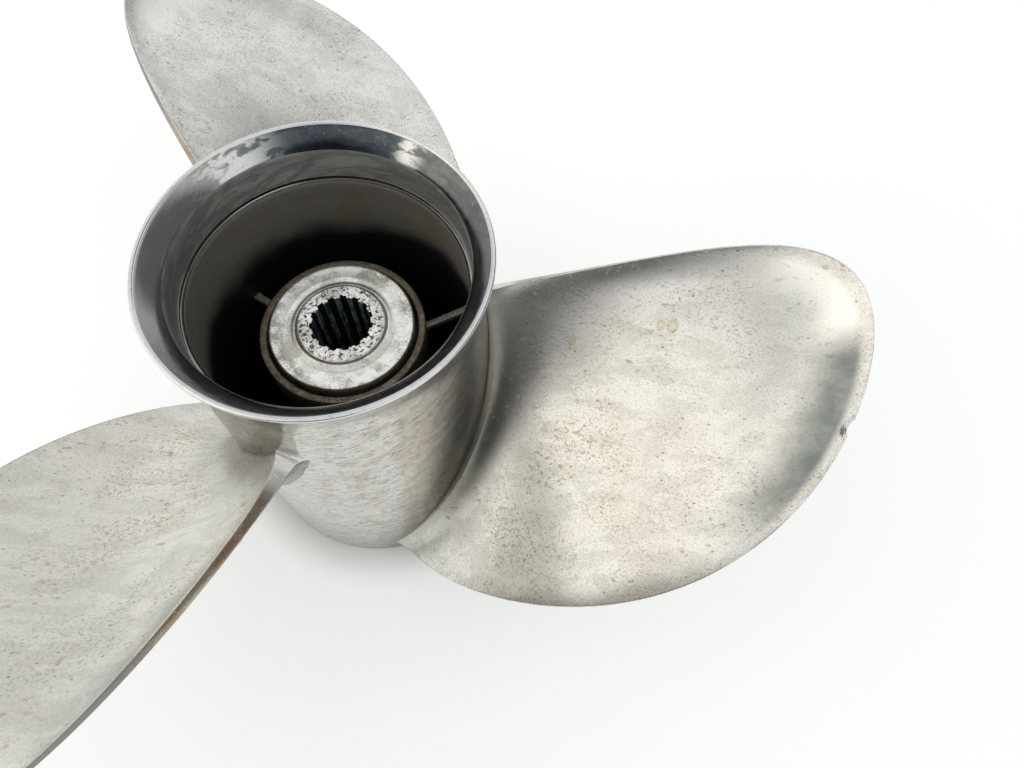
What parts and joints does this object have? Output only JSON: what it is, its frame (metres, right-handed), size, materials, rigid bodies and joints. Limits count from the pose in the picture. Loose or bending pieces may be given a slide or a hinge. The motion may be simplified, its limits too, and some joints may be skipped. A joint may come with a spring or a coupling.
{
  "type": "boat propeller",
  "caption": "Raked stainless outboard propeller with a through-hub exhaust, a flared aft ring and a rubber drive hub with a splined bore.",
  "frame": {"origin": "on the shaft axis at the propeller's centre of mass, 82.3 mm above the forward end face", "axes": "+Z along the shaft axis, aft, out of the exhaust; +X through the tip of blade_1"},
  "size_m": [0.3418, 0.358, 0.1754],
  "materials": {
    "weathered_stainless": "satin, finely pitted, brown water stains",
    "polished_stainless": "polished",
    "rusty_stainless": "brown film of rust",
    "dark_cast_stainless": "dull cast",
    "black_rubber": "matte",
    "oxidised_spline_steel": "dark, oxidised and pitted",
    "silvery_plated_steel": "matte silver, scuffed"
  },
  "bodies": {
    "propeller_body": {"hub_barrel": "weathered_stainless", "diffuser_ring": "polished_stainless", "inner_hub_tube": "rusty_stainless", "hub_rib_1": "dark_cast_stainless", "hub_rib_2": "dark_cast_stainless", "hub_rib_3": "dark_cast_stainless", "blade_1": "weathered_stainless", "blade_2": "weathered_stainless", "blade_3": "weathered_stainless", "rubber_cushion": "black_rubber"},
    "drive_sleeve": {"splined_sleeve": "oxidised_spline_steel", "sleeve_end_disc": "silvery_plated_steel"}
  },
  "joints": [
    {"name": "cushion_twist", "type": "hinge", "parent": "propeller_body", "child": "drive_sleeve", "pos_m": [0, 0, 0], "axis": [0, 0, 1], "range_deg": [-8, 8], "stiffness_Nm_per_rad": 2300}
  ]
}
